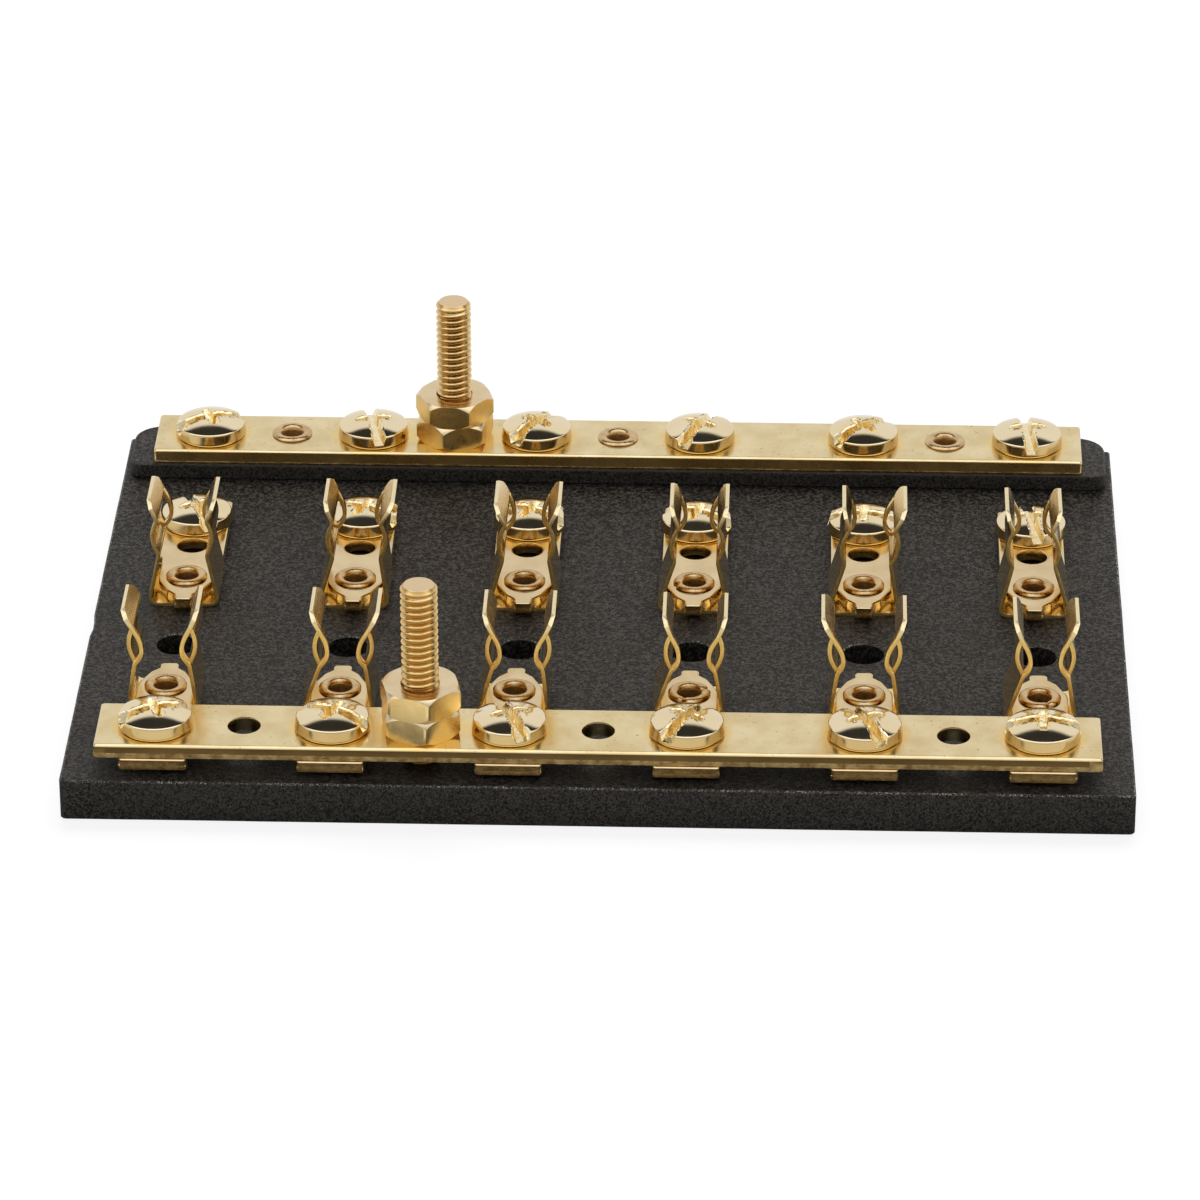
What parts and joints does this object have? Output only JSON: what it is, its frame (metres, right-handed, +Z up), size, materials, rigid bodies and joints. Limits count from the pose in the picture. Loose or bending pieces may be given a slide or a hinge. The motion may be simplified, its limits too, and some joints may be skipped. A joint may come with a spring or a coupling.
{
  "type": "fuse block",
  "caption": "Open fuse block: a dark phenolic base with brass bus bars, sprung fuse clips on terminal strips, slotted screws and threaded feed studs.",
  "frame": {"origin": "centre of the base's outline on the flat underside", "axes": "+X along the bus bars with the feed studs on the -X side, +Y from the front bar to the rear bar on its ledge, +Z up out of the base"},
  "size_m": [0.115, 0.081, 0.0256],
  "materials": {
    "phenolic": "moulded charcoal phenolic, semi-matt with fine speckle and pale worn edges",
    "bar_brass": "rolled pale brass with sheared edges",
    "clip_brass": "thin golden spring brass, smooth with sheared edges",
    "eyelet_brass": "coppery rolled brass",
    "screw_brass": "polished brass heads with cut slots",
    "stud_brass": "threaded bronze-brown brass",
    "nut_brass": "satin machined brass"
  },
  "bodies": {
    "block": {"base": "phenolic", "front_bus_bar": "bar_brass", "rear_bus_bar": "bar_brass", "front_clip_eyelets": "eyelet_brass", "rear_clip_eyelets": "eyelet_brass", "bar_eyelets": "eyelet_brass", "front_stud": "stud_brass", "rear_stud": "stud_brass", "front_lower_nut": "nut_brass", "rear_lower_nut": "nut_brass", "front_clip_1": "clip_brass", "front_clip_2": "clip_brass", "front_clip_3": "clip_brass", "front_clip_4": "clip_brass", "front_clip_5": "clip_brass", "front_clip_6": "clip_brass", "rear_clip_1": "clip_brass", "rear_clip_2": "clip_brass", "rear_clip_3": "clip_brass", "rear_clip_4": "clip_brass", "rear_clip_5": "clip_brass", "rear_clip_6": "clip_brass", "front_strip_1": "bar_brass", "front_strip_2": "bar_brass", "front_strip_3": "bar_brass", "front_strip_4": "bar_brass", "front_strip_5": "bar_brass", "front_strip_6": "bar_brass", "rear_strip_1": "bar_brass", "rear_strip_2": "bar_brass", "rear_strip_3": "bar_brass", "rear_strip_4": "bar_brass", "rear_strip_5": "bar_brass", "rear_strip_6": "bar_brass"},
    "front_bar_screw_1": {"front_bar_screw_1": "screw_brass"},
    "front_bar_screw_2": {"front_bar_screw_2": "screw_brass"},
    "front_bar_screw_3": {"front_bar_screw_3": "screw_brass"},
    "front_bar_screw_4": {"front_bar_screw_4": "screw_brass"},
    "front_bar_screw_5": {"front_bar_screw_5": "screw_brass"},
    "front_bar_screw_6": {"front_bar_screw_6": "screw_brass"},
    "rear_bar_screw_1": {"rear_bar_screw_1": "screw_brass"},
    "rear_bar_screw_2": {"rear_bar_screw_2": "screw_brass"},
    "rear_bar_screw_3": {"rear_bar_screw_3": "screw_brass"},
    "rear_bar_screw_4": {"rear_bar_screw_4": "screw_brass"},
    "rear_bar_screw_5": {"rear_bar_screw_5": "screw_brass"},
    "rear_bar_screw_6": {"rear_bar_screw_6": "screw_brass"},
    "terminal_screw_1": {"terminal_screw_1": "screw_brass"},
    "terminal_screw_2": {"terminal_screw_2": "screw_brass"},
    "terminal_screw_3": {"terminal_screw_3": "screw_brass"},
    "terminal_screw_4": {"terminal_screw_4": "screw_brass"},
    "terminal_screw_5": {"terminal_screw_5": "screw_brass"},
    "terminal_screw_6": {"terminal_screw_6": "screw_brass"},
    "front_upper_nut": {"front_upper_nut": "nut_brass"},
    "rear_upper_nut": {"rear_upper_nut": "nut_brass"}
  },
  "joints": [
    {"name": "front_bar_screw_1_travel", "type": "slide", "parent": "block", "child": "front_bar_screw_1", "axis": [0, 0, 1], "range_m": [0, 0.0025]},
    {"name": "front_bar_screw_2_travel", "type": "slide", "parent": "block", "child": "front_bar_screw_2", "axis": [0, 0, 1], "range_m": [0, 0.0025]},
    {"name": "front_bar_screw_3_travel", "type": "slide", "parent": "block", "child": "front_bar_screw_3", "axis": [0, 0, 1], "range_m": [0, 0.0025]},
    {"name": "front_bar_screw_4_travel", "type": "slide", "parent": "block", "child": "front_bar_screw_4", "axis": [0, 0, 1], "range_m": [0, 0.0025]},
    {"name": "front_bar_screw_5_travel", "type": "slide", "parent": "block", "child": "front_bar_screw_5", "axis": [0, 0, 1], "range_m": [0, 0.0025]},
    {"name": "front_bar_screw_6_travel", "type": "slide", "parent": "block", "child": "front_bar_screw_6", "axis": [0, 0, 1], "range_m": [0, 0.0025]},
    {"name": "rear_bar_screw_1_travel", "type": "slide", "parent": "block", "child": "rear_bar_screw_1", "axis": [0, 0, 1], "range_m": [0, 0.0025]},
    {"name": "rear_bar_screw_2_travel", "type": "slide", "parent": "block", "child": "rear_bar_screw_2", "axis": [0, 0, 1], "range_m": [0, 0.0025]},
    {"name": "rear_bar_screw_3_travel", "type": "slide", "parent": "block", "child": "rear_bar_screw_3", "axis": [0, 0, 1], "range_m": [0, 0.0025]},
    {"name": "rear_bar_screw_4_travel", "type": "slide", "parent": "block", "child": "rear_bar_screw_4", "axis": [0, 0, 1], "range_m": [0, 0.0025]},
    {"name": "rear_bar_screw_5_travel", "type": "slide", "parent": "block", "child": "rear_bar_screw_5", "axis": [0, 0, 1], "range_m": [0, 0.0025]},
    {"name": "rear_bar_screw_6_travel", "type": "slide", "parent": "block", "child": "rear_bar_screw_6", "axis": [0, 0, 1], "range_m": [0, 0.0025]},
    {"name": "terminal_screw_1_travel", "type": "slide", "parent": "block", "child": "terminal_screw_1", "axis": [0, 0, 1], "range_m": [0, 0.0025]},
    {"name": "terminal_screw_2_travel", "type": "slide", "parent": "block", "child": "terminal_screw_2", "axis": [0, 0, 1], "range_m": [0, 0.0025]},
    {"name": "terminal_screw_3_travel", "type": "slide", "parent": "block", "child": "terminal_screw_3", "axis": [0, 0, 1], "range_m": [0, 0.0025]},
    {"name": "terminal_screw_4_travel", "type": "slide", "parent": "block", "child": "terminal_screw_4", "axis": [0, 0, 1], "range_m": [0, 0.0025]},
    {"name": "terminal_screw_5_travel", "type": "slide", "parent": "block", "child": "terminal_screw_5", "axis": [0, 0, 1], "range_m": [0, 0.0025]},
    {"name": "terminal_screw_6_travel", "type": "slide", "parent": "block", "child": "terminal_screw_6", "axis": [0, 0, 1], "range_m": [0, 0.0025]},
    {"name": "front_upper_nut_travel", "type": "slide", "parent": "block", "child": "front_upper_nut", "axis": [0, 0, 1], "range_m": [0, 0.01]},
    {"name": "rear_upper_nut_travel", "type": "slide", "parent": "block", "child": "rear_upper_nut", "axis": [0, 0, 1], "range_m": [0, 0.01]}
  ]
}
